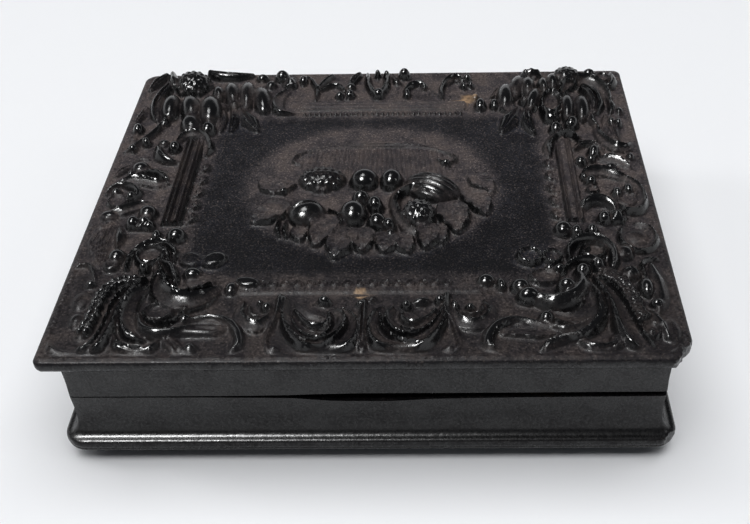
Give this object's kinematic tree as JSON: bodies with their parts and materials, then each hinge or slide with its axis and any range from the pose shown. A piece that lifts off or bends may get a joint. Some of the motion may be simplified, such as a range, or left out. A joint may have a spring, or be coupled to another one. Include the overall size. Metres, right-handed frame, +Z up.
{
  "type": "union case",
  "caption": "Hinged moulded thermoplastic photograph case with high-relief lid, snap clasps, velvet pad and a glazed picture packet inside.",
  "frame": {"origin": "under the middle of the case, on the surface that it stands on", "axes": "+Z up; +X along the long side; the opening front faces -Y and the hinges are at +Y"},
  "size_m": [0.096, 0.0816, 0.0254],
  "materials": {
    "moulded_black": "moulded shellac and wood-flour composition, glossy on the crests, dusty in the hollows",
    "aged_brass": "aged sheet brass",
    "gilt_brass": "stamped gilt foil",
    "velvet": "crimson cotton velvet",
    "card": "brown pasteboard",
    "silvered_plate": "tarnished blank silvered plate",
    "clear_glass": "thin clear glass"
  },
  "bodies": {
    "base": {"backing_card": "card", "base_shell": "moulded_black", "brass_mat": "gilt_brass", "cover_glass": "clear_glass", "image_plate": "silvered_plate", "left_clasp_rivet_1": "aged_brass", "left_clasp_rivet_2": "aged_brass", "left_hinge_base_leaf": "aged_brass", "left_hinge_base_rivet_1": "aged_brass", "left_hinge_base_rivet_2": "aged_brass", "left_hinge_pin": "aged_brass", "preserver_frame": "gilt_brass", "right_clasp_rivet_1": "aged_brass", "right_clasp_rivet_2": "aged_brass", "right_hinge_base_leaf": "aged_brass", "right_hinge_base_rivet_1": "aged_brass", "right_hinge_base_rivet_2": "aged_brass", "right_hinge_pin": "aged_brass", "velvet_rail": "velvet"},
    "lid": {"left_catch_rivet": "aged_brass", "left_clasp_catch": "aged_brass", "left_hinge_lid_leaf": "aged_brass", "left_hinge_lid_rivet_1": "aged_brass", "left_hinge_lid_rivet_2": "aged_brass", "lid_shell": "moulded_black", "pad_board": "card", "right_catch_rivet": "aged_brass", "right_clasp_catch": "aged_brass", "right_hinge_lid_leaf": "aged_brass", "right_hinge_lid_rivet_1": "aged_brass", "right_hinge_lid_rivet_2": "aged_brass", "velvet_pad": "velvet"},
    "left_clasp": {"left_clasp_spring": "aged_brass"},
    "right_clasp": {"right_clasp_spring": "aged_brass"}
  },
  "joints": [
    {"name": "lid_hinge", "type": "hinge", "parent": "base", "child": "lid", "pos_m": [0, 0.03949, 0.01225], "axis": [-1, 0, 0], "range_deg": [0, 160]},
    {"name": "left_clasp_flex", "type": "hinge", "parent": "base", "child": "left_clasp", "pos_m": [-0.02592, -0.03651, 0.0076], "axis": [-1, 0, 0], "range_deg": [0, 3], "stiffness_Nm_per_rad": 0.02},
    {"name": "right_clasp_flex", "type": "hinge", "parent": "base", "child": "right_clasp", "pos_m": [0.02592, -0.03651, 0.0076], "axis": [-1, 0, 0], "range_deg": [0, 3], "stiffness_Nm_per_rad": 0.02}
  ]
}
